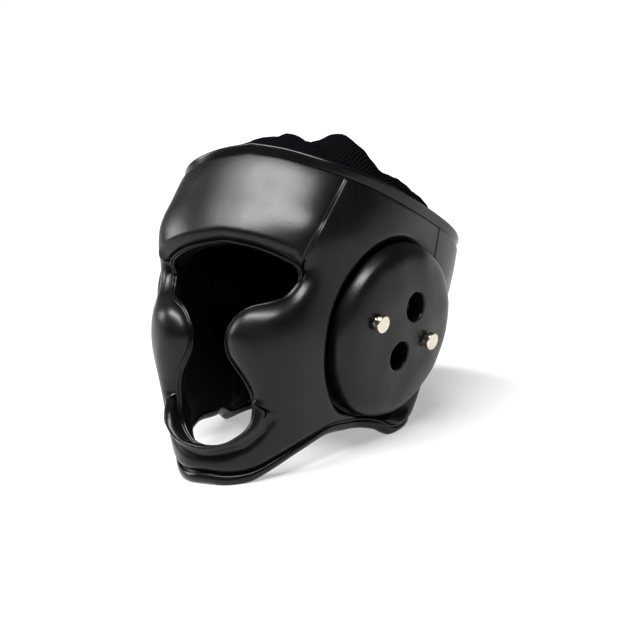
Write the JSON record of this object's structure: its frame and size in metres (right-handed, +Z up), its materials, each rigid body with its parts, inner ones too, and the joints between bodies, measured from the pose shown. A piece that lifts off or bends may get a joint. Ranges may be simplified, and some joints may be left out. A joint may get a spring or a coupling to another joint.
{
  "type": "padded sparring head guard",
  "caption": "Closed padded leather head guard with brow, cheek and chin pads round an open face, domed ear cups with sound holes and studs, and a slack cloth crown.",
  "frame": {"origin": "on the floor under the middle of the guard's bounding box", "axes": "+Z up from the floor, -Y the way the face looks, +X the wearer's left"},
  "size_m": [0.2224, 0.301, 0.2349],
  "materials": {
    "pad_leather": "smooth satin black leather over foam",
    "piping_leather": "semi-gloss black bound edge",
    "crown_cloth": "matt black ribbed stretch cloth",
    "stud_nickel": "polished pale nickel"
  },
  "bodies": {
    "root": {"forehead_pad": "pad_leather", "face_guard": "pad_leather", "back_pad": "pad_leather", "chin_roll": "pad_leather", "ear_cup_left": "pad_leather", "ear_cup_right": "pad_leather", "rim_piping": "piping_leather", "face_piping": "piping_leather", "hem_piping": "piping_leather", "crown_cover": "crown_cloth", "stud_left_front": "stud_nickel", "stud_left_rear": "stud_nickel", "stud_right_front": "stud_nickel", "stud_right_rear": "stud_nickel"}
  },
  "joints": []
}
